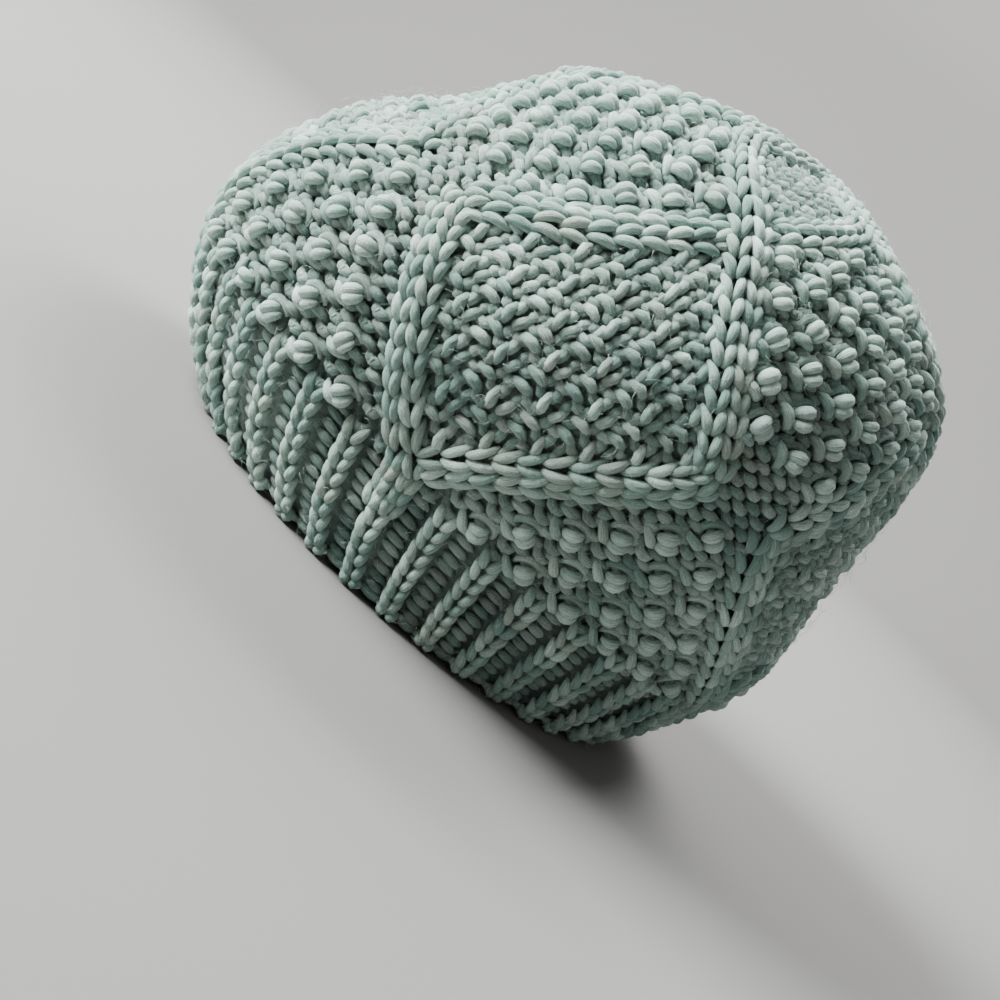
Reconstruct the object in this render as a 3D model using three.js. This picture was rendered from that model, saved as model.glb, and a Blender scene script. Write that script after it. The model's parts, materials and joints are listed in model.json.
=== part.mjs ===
// Hand-knitted slouchy tam standing on its rim, in mm: +Z up, rim on Z = 0, the forehead side towards -Y and the
// wearer's left towards +X. A level counts up the wall from 0 at the rim to 60 at the closed top.
import * as THREE from "three";

// Whole hat
const RIM_LENGTH = 195;
const RIM_WIDTH = 177;
const BODY_LENGTH = 261;
const BODY_WIDTH = 246;
const HEIGHT = 203;
const BRIM_HEIGHT = 43;

// Knitted wall: the section table gives the mean outline, and the purl ground lies inside it
const OUTLINE_TO_GROUND = 2.8;
const GROUND_THICKNESS = 5;
const RIB_PROUD = 3.2;
const RIB_PROUD_AT_EDGE = 1.6;
const RIB_PROUD_INSIDE = 1.6;
const BAND_PROUD = 3.6;
const BOBBLE_PROUD = 5;
const TEXTURE_PROUD = 1.3;
const CELL_SUNK = 1.2;
const SEAM_GAP = 0.3;
const TOP_DIMPLE = 1.2;

// Knitting pattern: counts, rows above the brim, and widths in stitches
const REPEATS = 5;
const STITCHES = 16;
const FIRST_DIAMOND_DEGREES = -7.8;
const SIDE_CORNER_STITCH = 6.6;
const SIDE_CORNER_ROW = 12.5;
const CROSSING_ROW = 24.5;
const MEETING_ROW = 34.5;
const LAST_ROW = 38.5;
const RIB_FOOT = 0.8;
const RIB_CREST = 0.55;
const BAND_FOOT = 1.15;
const BAND_CREST = 0.55;
const BOBBLE_FOOT = 0.55;
const BOBBLE_CREST = 0.28;
const CLEARANCE = 0.35;
const FIRST_BOBBLE_ROW = 0.5;
const LAST_LOWER_BOBBLE_ROW = 10.5;
const FIRST_UPPER_BOBBLE_ROW = 16.5;
const BRIM_TOP_LEVEL = 9;
const LEVELS_PER_ROW = 1.3;
const TOP_LEVEL = 60;

// Sections of the mean outline. The height is brimHeight of BRIM_HEIGHT and bodyHeight of the rest of HEIGHT. A width
// or length is its rim share of the rim's and its body share of the body's. Shift (of BODY_LENGTH) moves a section
// back, and tilt (degrees) lowers its back.
const COLUMNS = [
  "level", "brimHeight", "bodyHeight", "rimLength", "bodyLength", "rimWidth", "bodyWidth", "shift", "tilt",
];
const SECTIONS = [
  [0, 0, 0, 1, 0, 1, 0, 0, 0],
  [4, 0.424, 0, 0.481, 0.519, 0.88, 0.12, -0.019, 0.3],
  [9, 1, 0, 0.093, 0.907, 0.715, 0.285, -0.031, 2],
  [14, 1, 0.137, 0, 1, 0.383, 0.617, -0.028, 4.8],
  [20, 1, 0.292, 0, 0.964, 0.076, 0.924, -0.011, 6.6],
  [26, 1, 0.434, 0, 0.897, 0, 1, 0.012, 5.4],
  [32, 1, 0.574, 0, 0.807, 0, 0.943, 0.037, 2.4],
  [38, 1, 0.715, 0, 0.722, 0, 0.833, 0.055, 0.4],
  [44, 1, 0.838, 0, 0.592, 0, 0.675, 0.062, 0],
  [49, 1, 0.913, 0, 0.448, 0, 0.505, 0.066, 0],
  [53, 1, 0.955, 0, 0.318, 0, 0.345, 0.068, 0],
  [57, 1, 0.986, 0, 0.165, 0, 0.175, 0.07, 0],
  [60, 1, 1, 0, 0.03, 0, 0.03, 0.07, 0],
].map((row) => Object.fromEntries(COLUMNS.map((column, i) => [column, row[i]])));

// Rings of the faceted walls
const BRIM_OUTER_LEVELS = [0, 0.8, 3, 6];
const BRIM_INNER_LEVELS = [0, 2.5, 5.5];
const CROWN_INNER_RINGS = [
  { level: 13, points: 60 },
  { level: 18, points: 60 },
  { level: 24, points: 60 },
  { level: 30, points: 60 },
  { level: 36, points: 60 },
  { level: 42, points: 60 },
  { level: 47, points: 40 },
  { level: 51, points: 30 },
  { level: 55, points: 20 },
  { level: 58, points: 10 },
];

const wool = new THREE.MeshStandardMaterial({ name: "wool_yarn", color: 0x8fa89e, roughness: 0.95 });

// One column of the section table at a level, on a smooth curve through the rows.
function sectionValue(column, level) {
  const last = SECTIONS.length - 1;
  let i = 0;
  while (i < last - 1 && level > SECTIONS[i + 1].level) {
    i += 1;
  }
  const slopeAt = (k) => {
    const low = SECTIONS[Math.max(k - 1, 0)];
    const high = SECTIONS[Math.min(k + 1, last)];
    return (high[column] - low[column]) / (high.level - low.level);
  };
  const from = SECTIONS[i];
  const to = SECTIONS[i + 1];
  const span = to.level - from.level;
  const t = (level - from.level) / span;
  return (
    from[column] * (1 + 2 * t) * (1 - t) ** 2 +
    slopeAt(i) * span * t * (1 - t) ** 2 +
    to[column] * (3 - 2 * t) * t ** 2 -
    slopeAt(i + 1) * span * t ** 2 * (1 - t)
  );
}

// Point of the mean outline.
function outlinePoint(level, angle) {
  const value = (column) => sectionValue(column, level);
  const halfLength = (value("rimLength") * RIM_LENGTH + value("bodyLength") * BODY_LENGTH) / 2;
  const halfWidth = (value("rimWidth") * RIM_WIDTH + value("bodyWidth") * BODY_WIDTH) / 2;
  const height = value("brimHeight") * BRIM_HEIGHT + value("bodyHeight") * (HEIGHT - BRIM_HEIGHT);
  const tilt = THREE.MathUtils.degToRad(value("tilt"));
  const back = halfLength * Math.sin(angle);
  return new THREE.Vector3(
    halfWidth * Math.cos(angle),
    value("shift") * BODY_LENGTH + back * Math.cos(tilt),
    height - back * Math.sin(tilt),
  );
}

// Point at an offset from the mean outline, outwards along its normal.
function wallPoint(level, angle, offset) {
  const point = outlinePoint(level, angle);
  const around = outlinePoint(level, angle + 0.01).sub(outlinePoint(level, angle - 0.01));
  const low = Math.max(level - 0.3, 0);
  const high = Math.min(level + 0.3, TOP_LEVEL);
  const upwards = outlinePoint(high, angle).sub(outlinePoint(low, angle));
  const normal = around.cross(upwards);
  if (level === 0) {
    normal.z = 0;
  }
  return point.addScaledVector(normal.normalize(), offset);
}

// Stitches from one diamond's middle to the next at a row: one fewer each row above the crossing.
function stitchesAt(row) {
  return row <= CROSSING_ROW ? STITCHES : STITCHES - (row - CROSSING_ROW);
}

// Angle of a place a share of half a repeat away from the middle of diamond `repeat`.
function angleOf(repeat, share) {
  const half = 180 / REPEATS;
  return THREE.MathUtils.degToRad(FIRST_DIAMOND_DEGREES + half * (2 * repeat + share));
}

// Middle of the band, in stitches from the diamond's middle.
function bandStitch(row) {
  if (row <= SIDE_CORNER_ROW) {
    return (SIDE_CORNER_STITCH * row) / SIDE_CORNER_ROW;
  }
  if (row <= CROSSING_ROW) {
    return (SIDE_CORNER_STITCH * (CROSSING_ROW - row)) / (CROSSING_ROW - SIDE_CORNER_ROW);
  }
  const share = Math.min((row - CROSSING_ROW) / (MEETING_ROW - CROSSING_ROW), 1);
  return (share * stitchesAt(row)) / 2;
}

const isEven = (n) => Math.abs(n % 2) < 0.01;

// Whether the fields between the bands have bobbles on a row: every second row, but none around the side corners.
function hasBobbles(row) {
  const first = row <= LAST_LOWER_BOBBLE_ROW ? FIRST_BOBBLE_ROW : FIRST_UPPER_BOBBLE_ROW;
  return row >= first && isEven(row - first);
}

// Whether a field has a bobble `fromMiddle` stitches from its middle line: every second stitch, staggered.
function isBobble(row, fromMiddle) {
  if (row <= LAST_LOWER_BOBBLE_ROW) {
    return hasBobbles(row) && isEven((row - FIRST_BOBBLE_ROW) / 2 + fromMiddle + 1);
  }
  return hasBobbles(row) && isEven((row - FIRST_UPPER_BOBBLE_ROW) / 2 + fromMiddle);
}

// Points of one row over half a repeat: stitches from the diamond's middle, and how far each stands proud of the
// ground.
function halfRepeat(row) {
  const half = stitchesAt(row) / 2;
  const band = bandStitch(row);
  const inDiamond = row <= CROSSING_ROW;
  const floor = inDiamond ? 0 : -CELL_SUNK;
  const points = [];
  for (let stitch = 0; stitch < band - BAND_FOOT - CLEARANCE; stitch += 1) {
    const raised = inDiamond && isEven(stitch + Math.floor(row / 2));
    points.push({ stitch, lift: raised ? TEXTURE_PROUD : floor });
  }
  points.push({ stitch: band - BAND_FOOT, lift: floor });
  points.push({ stitch: band - BAND_CREST, lift: BAND_PROUD });
  points.push({ stitch: band + BAND_CREST, lift: BAND_PROUD });
  points.push({ stitch: band + BAND_FOOT, lift: 0 });
  for (let fromMiddle = Math.floor(half); fromMiddle >= 0; fromMiddle -= 1) {
    const stitch = half - fromMiddle;
    const clear = stitch > band + BAND_FOOT + CLEARANCE;
    if (clear && isBobble(row, fromMiddle)) {
      points.push({ stitch: stitch - BOBBLE_FOOT, lift: 0 });
      points.push({ stitch: stitch - BOBBLE_CREST, lift: BOBBLE_PROUD });
      points.push({ stitch: stitch + BOBBLE_CREST, lift: BOBBLE_PROUD });
      points.push({ stitch: stitch + BOBBLE_FOOT, lift: 0 });
    } else if (clear && !hasBobbles(row)) {
      points.push({ stitch, lift: 0 });
    }
  }
  const kept = points.filter((point) => point.stitch >= 0 && point.stitch <= half);
  if (kept[0].stitch > CLEARANCE / 2) {
    kept.unshift({ stitch: 0, lift: kept[0].lift });
  }
  if (kept[kept.length - 1].stitch < half - CLEARANCE / 2) {
    kept.push({ stitch: half, lift: kept[kept.length - 1].lift });
  }
  return kept;
}

// Ring of the crown's outer face at a row.
function crownRing(row) {
  const level = BRIM_TOP_LEVEL + LEVELS_PER_ROW * row;
  const half = stitchesAt(row) / 2;
  const points = halfRepeat(row);
  const ring = [];
  for (let repeat = 0; repeat < REPEATS; repeat += 1) {
    for (const sign of [-1, 1]) {
      const ordered = sign < 0 ? [...points].reverse() : points;
      for (const point of ordered) {
        const share = (sign * point.stitch) / half;
        const shared = share <= -0.999 || (sign > 0 && point.stitch === 0);
        if (!shared) {
          const angle = angleOf(repeat, share);
          ring.push({ angle, at: wallPoint(level, angle, point.lift - OUTLINE_TO_GROUND) });
        }
      }
    }
  }
  return ring;
}

// Ring of the brim's outer face: a ridge for each knit column and a valley for each purl column.
function brimRing(level) {
  const ribs = STITCHES / 2;
  const ring = [];
  const proud = level === 0 ? RIB_PROUD_AT_EDGE : RIB_PROUD;
  const profile = [
    { stitch: -RIB_CREST, lift: proud },
    { stitch: RIB_CREST, lift: proud },
    { stitch: RIB_FOOT, lift: 0 },
    { stitch: 2 - RIB_FOOT, lift: 0 },
  ];
  for (let repeat = 0; repeat < REPEATS; repeat += 1) {
    for (let rib = 0; rib < ribs; rib += 1) {
      for (const point of profile) {
        const angle = angleOf(repeat, (2 * rib - ribs + 1 + point.stitch) / ribs);
        ring.push({ angle, at: wallPoint(level, angle, point.lift - OUTLINE_TO_GROUND) });
      }
    }
  }
  return ring;
}

// Ring of the brim's inner face, where the outer valleys are low ridges.
function brimInnerRing(level) {
  const ribs = STITCHES / 2;
  const ring = [];
  for (let repeat = 0; repeat < REPEATS; repeat += 1) {
    for (let rib = 0; rib < ribs; rib += 1) {
      for (const ridge of [0, 1]) {
        const angle = angleOf(repeat, (2 * rib - ribs + 1 + ridge) / ribs);
        const offset = -OUTLINE_TO_GROUND - GROUND_THICKNESS - ridge * RIB_PROUD_INSIDE;
        ring.push({ angle, at: wallPoint(level, angle, offset) });
      }
    }
  }
  return ring;
}

// Plain ring of the crown's inner face.
function plainRing(level, points) {
  const ring = [];
  for (let i = 0; i < points; i += 1) {
    const angle = angleOf(0, -1) + (2 * Math.PI * i) / points;
    ring.push({ angle, at: wallPoint(level, angle, -OUTLINE_TO_GROUND - GROUND_THICKNESS) });
  }
  return ring;
}

// Triangles between two rings, the second above the first, with the outer side facing outwards. Each step takes the
// edge that turns less.
function zip(lower, upper, triangles) {
  const start = lower[0].angle;
  const along = (ring, i) => ring[i % ring.length].angle - start + 2 * Math.PI * Math.floor(i / ring.length);
  let i = 0;
  let j = 0;
  while (i < lower.length || j < upper.length) {
    const a = lower[i % lower.length].at;
    const b = upper[j % upper.length].at;
    const viaLower = Math.abs(along(lower, i + 1) - along(upper, j));
    const viaUpper = Math.abs(along(lower, i) - along(upper, j + 1));
    const takeLower = j >= upper.length || (i < lower.length && viaLower <= viaUpper);
    if (takeLower) {
      triangles.push(a, lower[(i + 1) % lower.length].at, b);
      i += 1;
    } else {
      triangles.push(a, upper[(j + 1) % upper.length].at, b);
      j += 1;
    }
  }
}

// Triangles from a ring to one point above it.
function cap(ring, tip, triangles) {
  for (let i = 0; i < ring.length; i += 1) {
    triangles.push(ring[i].at, ring[(i + 1) % ring.length].at, tip);
  }
}

// Adds triangles with their sides swapped, for faces that look inwards.
function addReversed(faces, triangles) {
  for (let i = 0; i < faces.length; i += 3) {
    triangles.push(faces[i], faces[i + 2], faces[i + 1]);
  }
}

function meshFrom(name, triangles) {
  const geometry = new THREE.BufferGeometry().setFromPoints(triangles);
  geometry.computeVertexNormals();
  const mesh = new THREE.Mesh(geometry, wool);
  mesh.name = name;
  return mesh;
}

// Level just under or over the seam between brim and crown, half the gap away from it.
function seamLevel(side) {
  return BRIM_TOP_LEVEL + (side * SEAM_GAP * BRIM_TOP_LEVEL) / (2 * BRIM_HEIGHT);
}

function ribbedBrim() {
  const top = seamLevel(-1);
  const outer = [...BRIM_OUTER_LEVELS, top].map(brimRing);
  const inner = [...BRIM_INNER_LEVELS, top].map(brimInnerRing);
  const triangles = [];
  const inward = [];
  for (let i = 0; i + 1 < outer.length; i += 1) {
    zip(outer[i], outer[i + 1], triangles);
  }
  zip(outer[outer.length - 1], inner[inner.length - 1], triangles);
  for (let i = 0; i + 1 < inner.length; i += 1) {
    zip(inner[i], inner[i + 1], inward);
  }
  addReversed(inward, triangles);
  zip(inner[0], outer[0], triangles);
  return meshFrom("ribbed_brim", triangles);
}

function crown() {
  const outer = [brimRing(seamLevel(1))];
  for (let row = FIRST_BOBBLE_ROW; row <= LAST_ROW; row += 1) {
    outer.push(crownRing(row));
  }
  const inner = [plainRing(seamLevel(1), CROWN_INNER_RINGS[0].points)];
  for (const ring of CROWN_INNER_RINGS) {
    inner.push(plainRing(ring.level, ring.points));
  }
  const middle = outlinePoint(TOP_LEVEL, 0);
  middle.x = 0;
  const tip = middle.clone().setZ(middle.z - OUTLINE_TO_GROUND - TOP_DIMPLE);
  const innerTip = middle.clone().setZ(middle.z - OUTLINE_TO_GROUND - GROUND_THICKNESS);
  const triangles = [];
  const inward = [];
  for (let i = 0; i + 1 < outer.length; i += 1) {
    zip(outer[i], outer[i + 1], triangles);
  }
  cap(outer[outer.length - 1], tip, triangles);
  for (let i = 0; i + 1 < inner.length; i += 1) {
    zip(inner[i], inner[i + 1], inward);
  }
  cap(inner[inner.length - 1], innerTip, inward);
  addReversed(inward, triangles);
  zip(inner[0], outer[0], triangles);
  return meshFrom("crown", triangles);
}

// Moves the meshes so that the middle of their box stands over the origin and the rim on Z = 0.
function centre(meshes) {
  const box = new THREE.Box3();
  for (const mesh of meshes) {
    box.expandByObject(mesh);
  }
  const middle = box.getCenter(new THREE.Vector3());
  for (const mesh of meshes) {
    mesh.geometry.translate(-middle.x, -middle.y, -box.min.z);
  }
}

const group = new THREE.Group();
group.name = "tam";
const meshes = [ribbedBrim(), crown()];
centre(meshes);
group.add(...meshes);

export default group;
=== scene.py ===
import json
import math

import bpy
import numpy as np
from bpy.props import FloatProperty, FloatVectorProperty, PointerProperty
from mathutils import Matrix, Vector

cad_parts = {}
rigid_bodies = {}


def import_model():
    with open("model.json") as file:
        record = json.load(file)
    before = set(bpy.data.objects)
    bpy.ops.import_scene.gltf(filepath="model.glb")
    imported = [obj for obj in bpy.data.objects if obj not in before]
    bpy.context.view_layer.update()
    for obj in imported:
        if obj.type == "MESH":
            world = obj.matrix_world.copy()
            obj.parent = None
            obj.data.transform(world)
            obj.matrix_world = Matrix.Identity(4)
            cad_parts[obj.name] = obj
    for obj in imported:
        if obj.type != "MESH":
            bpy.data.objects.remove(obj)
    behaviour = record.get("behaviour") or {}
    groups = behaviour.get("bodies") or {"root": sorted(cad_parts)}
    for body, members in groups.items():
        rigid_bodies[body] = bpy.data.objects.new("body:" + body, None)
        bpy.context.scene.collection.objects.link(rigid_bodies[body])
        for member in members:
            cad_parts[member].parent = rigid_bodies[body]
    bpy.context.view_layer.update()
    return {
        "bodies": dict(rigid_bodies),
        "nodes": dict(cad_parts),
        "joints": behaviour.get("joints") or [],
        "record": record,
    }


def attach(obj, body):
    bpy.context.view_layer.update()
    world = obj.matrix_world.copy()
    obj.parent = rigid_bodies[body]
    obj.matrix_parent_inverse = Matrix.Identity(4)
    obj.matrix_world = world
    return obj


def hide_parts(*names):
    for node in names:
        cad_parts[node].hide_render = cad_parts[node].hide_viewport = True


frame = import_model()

bl_info = {
    "name": "Knitted Tam",
    "version": (1, 0, 0),
    "blender": (4, 5, 0),
    "location": "3D View > Sidebar > Tam",
    "description": "Knits a slouchy tam: ribbed brim, framed diamonds, bobbles and closed crown",
    "category": "Add Mesh",
}

METRES = 0.001  # one millimetre: the shapes below are worked out in mm

# Whole hat, in mm, as the solids have it
RIM_LENGTH = 195
RIM_WIDTH = 177
BODY_LENGTH = 261
BODY_WIDTH = 246
HEIGHT = 203
BRIM_HEIGHT = 43
RIM_MIDDLE = (1.16, 7.19, 0)  # from the middle of the whole hat's box
TOP_LEVEL = 60
BRIM_TOP_LEVEL = 9
LOWEST_STRAND_LEVEL = 0.61  # its middle, a strand's radius above the floor
LEVELS_PER_ROW = 1.3
OUTLINE_TO_GROUND = 2.8
GROUND_THICKNESS = 5
RIB_PROUD = 3.2
BAND_PROUD = 3.6
LOOP_DEPTH = 2.0
BOBBLE_LIFT = 3.5

# Knitting pattern: counts, rows above the brim, and widths in stitches
REPEATS = 5
STITCHES = 16
RIB_ROWS = 9
LADDER_BARS = 12
FIRST_DIAMOND_DEGREES = -7.8
SIDE_CORNER_STITCH = 6.6
SIDE_CORNER_ROW = 12.5
CROSSING_ROW = 24.5
MEETING_ROW = 34.5
LAST_ROW = 38.5
FIRST_BAND_ROW = -3
UPPER_GROUND_ROW = 19
FIRST_BOBBLE_ROW = 0.5
LOWER_BOBBLE_ROWS = 6
FIRST_UPPER_BOBBLE_ROW = 16.5
LAST_UPPER_BOBBLE_ROW = 32.5
BOBBLE_CLEARANCE = 1.35

# Shape of a loop: neck and lean in stitches, reach from its middle to its head in rows, how far its first
# leg lies over the second in mm, and the share by which crossings thin it
LOOP_NECK = 0.17
LOOP_LEAN = 0.05
LOOP_REACH = 0.8
LEG_LIFT = 0.7
LOOP_PINCH = 0.07

# Painted shade: shares of the yarn's dyed colour kept on the purl ground and the rib's ladder bars, where
# neighbouring strands take the light, and on the wall under the stitches and on the hat's inner face
GROUND_SHADE = 0.73
LADDER_SHADE = 0.62
WALL_SHADE_OUTSIDE = 0.45
WALL_SHADE_INSIDE = 0.85

# Fibres and wall: counts, and mm of their UV map
FIBRE_TRIES = 7900
WALL_POINTS_AROUND = 240
WALL_LEVELS_OUTSIDE = 40
WALL_LEVELS_INSIDE = 100
MM_PER_DEGREE = 2.0
MM_PER_LEVEL = 4.5

# Sections of the mean outline, with the same columns as the solids: level, brim height, body height, shares
# of rim and body in the length, the same in the width, shift to the back, and tilt in degrees
SECTIONS = np.array([
    [0, 0, 0, 1, 0, 1, 0, 0, 0],
    [4, 0.424, 0, 0.481, 0.519, 0.88, 0.12, -0.019, 0.3],
    [9, 1, 0, 0.093, 0.907, 0.715, 0.285, -0.031, 2],
    [14, 1, 0.137, 0, 1, 0.383, 0.617, -0.028, 4.8],
    [20, 1, 0.292, 0, 0.964, 0.076, 0.924, -0.011, 6.6],
    [26, 1, 0.434, 0, 0.897, 0, 1, 0.012, 5.4],
    [32, 1, 0.574, 0, 0.807, 0, 0.943, 0.037, 2.4],
    [38, 1, 0.715, 0, 0.722, 0, 0.833, 0.055, 0.4],
    [44, 1, 0.838, 0, 0.592, 0, 0.675, 0.062, 0],
    [49, 1, 0.913, 0, 0.448, 0, 0.505, 0.066, 0],
    [53, 1, 0.955, 0, 0.318, 0, 0.345, 0.068, 0],
    [57, 1, 0.986, 0, 0.165, 0, 0.175, 0.07, 0],
    [60, 1, 1, 0, 0.03, 0, 0.03, 0.07, 0],
])

# Camera, in mm and degrees
CAMERA_PLACE = (556.2, -24.8, 142.8)
CAMERA_AIM = (6.35, 17.48, 39.0)
CAMERA_ROLL = 42.66
CAMERA_LENS = 54
CAMERA_SENSOR = 36

# Lights that wash the backdrop: name, side of the hat in x and y, and power in watts
WALL_LIGHTS = (("backdrop", -1, 0, 100), ("front_wall", 1, 0, 5), ("side_wall", 0, -1, 5))
WHITE = (1.0, 1.0, 1.0)


# The wall

def section_slopes():
    """Slope of each column at each section: the rise from the row before to the row after, by level."""
    padded = np.vstack([SECTIONS[:1], SECTIONS, SECTIONS[-1:]])
    rise = padded[2:] - padded[:-2]
    return rise / rise[:, :1]


SLOPES = section_slopes()


def sections_at(level):
    """Columns of the table at each level: a cubic between neighbouring rows that keeps their slopes."""
    level = np.asarray(level, float)
    i = np.clip(np.searchsorted(SECTIONS[:, 0], level, side="right") - 1, 0, len(SECTIONS) - 2)
    span = (SECTIONS[i + 1, 0] - SECTIONS[i, 0])[..., None]
    t = (level - SECTIONS[i, 0])[..., None] / span
    return (
        SECTIONS[i] * (1 + 2 * t) * (1 - t) ** 2
        + SLOPES[i] * span * t * (1 - t) ** 2
        + SECTIONS[i + 1] * (3 - 2 * t) * t**2
        - SLOPES[i + 1] * span * t**2 * (1 - t)
    )


def outline(level, angle):
    """Mean outline: an ellipse at each level, moved back by its shift and tilted about the X axis."""
    level, angle = np.broadcast_arrays(np.asarray(level, float), np.asarray(angle, float))
    row = sections_at(level)
    half_length = (row[..., 3] * RIM_LENGTH + row[..., 4] * BODY_LENGTH) / 2
    half_width = (row[..., 5] * RIM_WIDTH + row[..., 6] * BODY_WIDTH) / 2
    height = row[..., 1] * BRIM_HEIGHT + row[..., 2] * (HEIGHT - BRIM_HEIGHT)
    tilt = np.radians(row[..., 8])
    back = half_length * np.sin(angle)
    x = half_width * np.cos(angle)
    y = row[..., 7] * BODY_LENGTH + back * np.cos(tilt)
    z = height - back * np.sin(tilt)
    return np.stack([x, y, z], -1) + RIM_MIDDLE


def unit(vectors):
    return vectors / np.maximum(np.linalg.norm(vectors, axis=-1, keepdims=True), 1e-9)


def wall(level, angle):
    """Point of the mean outline and its outward normal, across the ways around and up the wall."""
    low = np.maximum(np.asarray(level, float) - 0.3, 0)
    high = np.minimum(np.asarray(level, float) + 0.3, TOP_LEVEL)
    around = outline(level, angle + 0.01) - outline(level, angle - 0.01)
    upwards = outline(high, angle) - outline(low, angle)
    return outline(level, angle), unit(np.cross(around, upwards))


# The stitch chart

def level_of(row):
    """Levels run one to a row in the ribbing, rows -9 to 0, and LEVELS_PER_ROW to a row above it."""
    row = np.asarray(row, float)
    level = BRIM_TOP_LEVEL + np.where(row < 0, row, row * LEVELS_PER_ROW)
    return np.clip(level, LOWEST_STRAND_LEVEL, TOP_LEVEL)


def half_stitches(row):
    """Half the stitches of a repeat at a row: a repeat loses one stitch in each row above the crossing."""
    return np.clip((STITCHES - np.maximum(np.asarray(row, float) - CROSSING_ROW, 0)) / 2, 0.8, None)


def chart(repeat, stitch, row):
    """Level and angle of a place on the chart, with stitches counted from the middle of diamond `repeat`."""
    share = np.asarray(stitch, float) / half_stitches(row)
    degrees = FIRST_DIAMOND_DEGREES + (2 * np.asarray(repeat) + share) * 180 / REPEATS
    return level_of(row), np.radians(degrees)


def band_stitch(row):
    """Middle of a band in stitches: out to the side corner, back to the crossing, out to the next corner."""
    row = np.asarray(row, float)
    lower = SIDE_CORNER_STITCH * row / SIDE_CORNER_ROW
    upper = SIDE_CORNER_STITCH * (CROSSING_ROW - row) / (CROSSING_ROW - SIDE_CORNER_ROW)
    corner = 0.5 * (lower + upper - np.sqrt((lower - upper) ** 2 + 0.9))
    share = np.clip((row - CROSSING_ROW) / (MEETING_ROW - CROSSING_ROW), 0, None)
    half = half_stitches(row)
    above = -np.minimum(share * half, np.maximum(half - 1.05, 0.35))
    return np.where(row > CROSSING_ROW, above, np.maximum(corner, 0))


# Strands

class Yarn:
    """Strands gathered for one piece: paths, the wall's normals along them, radii and colour at each point,
    the yarn's dyed colour with painted shade and painted highlight in places.
    """

    def __init__(self, seed):
        self.random = np.random.default_rng(seed)
        self.parts = []

    def add(self, path, normal, radius, dye_and_painted_light, sides=6):
        """path is (strands, points, 3); the normals, radii and colours spread to its strands and points."""
        normal = np.broadcast_to(normal, path.shape)
        radius = np.broadcast_to(radius, path.shape[:2])
        self.parts.append((path, normal, radius, np.broadcast_to(dye_and_painted_light, path.shape), sides))


def tube_part(path, normal, radius, dye_and_painted_light, sides, shift):
    """Closed tubes: a ring is the path's point plus the radius times (cos, sin) in the plane across it."""
    strands, points = path.shape[:2]
    along = unit(np.gradient(path, axis=1))
    side = unit(np.cross(along, normal))
    up = np.cross(side, along)
    turn = np.arange(sides) * 2 * np.pi / sides
    ring = (
        path[:, :, None]
        + radius[:, :, None, None] * np.cos(turn)[:, None] * up[:, :, None]
        + radius[:, :, None, None] * np.sin(turn)[:, None] * side[:, :, None]
    )
    base = (np.arange(strands) * points * sides)[:, None, None]
    i = (np.arange(points - 1) * sides)[None, :, None]
    j = np.arange(sides)[None, None, :]
    k = (j + 1) % sides
    this_ring, next_ring = base + i, base + i + sides
    quads = np.stack([this_ring + j, this_ring + k, next_ring + k, next_ring + j], -1).reshape(-1, 4)
    first = base[:, 0] + np.arange(sides)[None, ::-1]
    last = base[:, 0] + (points - 1) * sides + np.arange(sides)[None, :]
    steps = np.linalg.norm(np.diff(path, axis=1), axis=-1)
    length = np.concatenate([np.zeros((strands, 1)), np.cumsum(steps, 1)], 1) + shift[:, None]
    u = np.stack([length[:, :-1], length[:, :-1], length[:, 1:], length[:, 1:]], -1)
    u = np.broadcast_to(u[:, :, None, :], (strands, points - 1, sides, 4))
    girth = 2 * np.pi * radius.max(1)[:, None, None, None] / sides
    v = girth * (np.arange(sides)[None, None, :, None] + np.array([0, 1, 1, 0]))
    v = np.broadcast_to(v, (strands, points - 1, sides, 4))
    uv = np.stack([u, v], -1).reshape(-1, 2)
    cap_uv = np.zeros((strands * sides * 2, 2))
    colour = np.repeat(dye_and_painted_light, sides, axis=1).reshape(-1, 3)
    return ring.reshape(-1, 3), quads, np.vstack([first, last]), uv, cap_uv, colour


def make_mesh(name, vertices, faces, uv, colour):
    """Mesh object from arrays in mm, with its UV in mm and its colour at each vertex: the yarn's dyed colour
    with painted shade and painted highlight in places.
    """
    mesh = bpy.data.meshes.new(name)
    mesh.from_pydata((vertices * METRES).tolist(), [], faces)
    mesh.polygons.foreach_set("use_smooth", np.ones(len(mesh.polygons), bool))
    layer = mesh.uv_layers.new(name="yarn_mm")
    layer.data.foreach_set("uv", uv.astype(np.float32).ravel())
    dye_and_painted_light = mesh.color_attributes.new("dye_and_painted_light", "FLOAT_COLOR", "POINT")
    rgba = np.concatenate([colour, np.ones((len(colour), 1))], 1)
    dye_and_painted_light.data.foreach_set("color", rgba.astype(np.float32).ravel())
    mesh.update()
    piece = bpy.data.objects.new(name, mesh)
    bpy.context.scene.collection.objects.link(piece)
    return piece


def knit(name, yarn, material):
    """One piece from all of a Yarn's strands."""
    vertices, faces, uvs, cap_uvs, caps, colours = [], [], [], [], [], []
    offset = 0
    for path, normal, radius, dye_and_painted_light, sides in yarn.parts:
        shift = yarn.random.uniform(0, 400, len(path))
        ring, quads, ends, uv, cap_uv, colour = tube_part(path, normal, radius, dye_and_painted_light, sides, shift)
        vertices.append(ring)
        faces += (quads + offset).tolist()
        caps += (ends + offset).tolist()
        uvs.append(uv)
        cap_uvs.append(cap_uv)
        colours.append(colour)
        offset += len(ring)
    uv = np.concatenate(uvs + cap_uvs)
    piece = make_mesh(name, np.concatenate(vertices), faces + caps, uv, np.concatenate(colours))
    return finish(piece, material)


def finish(piece, material):
    """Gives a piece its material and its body."""
    piece.data.materials.append(material)
    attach(piece, "root")
    return piece


def linear(hex_colour):
    """sRGB hex value to linear RGB."""
    value = np.array([int(hex_colour[i : i + 2], 16) / 255 for i in (1, 3, 5)])
    return np.where(value <= 0.04045, value / 12.92, ((value + 0.055) / 1.055) ** 2.4)


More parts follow.
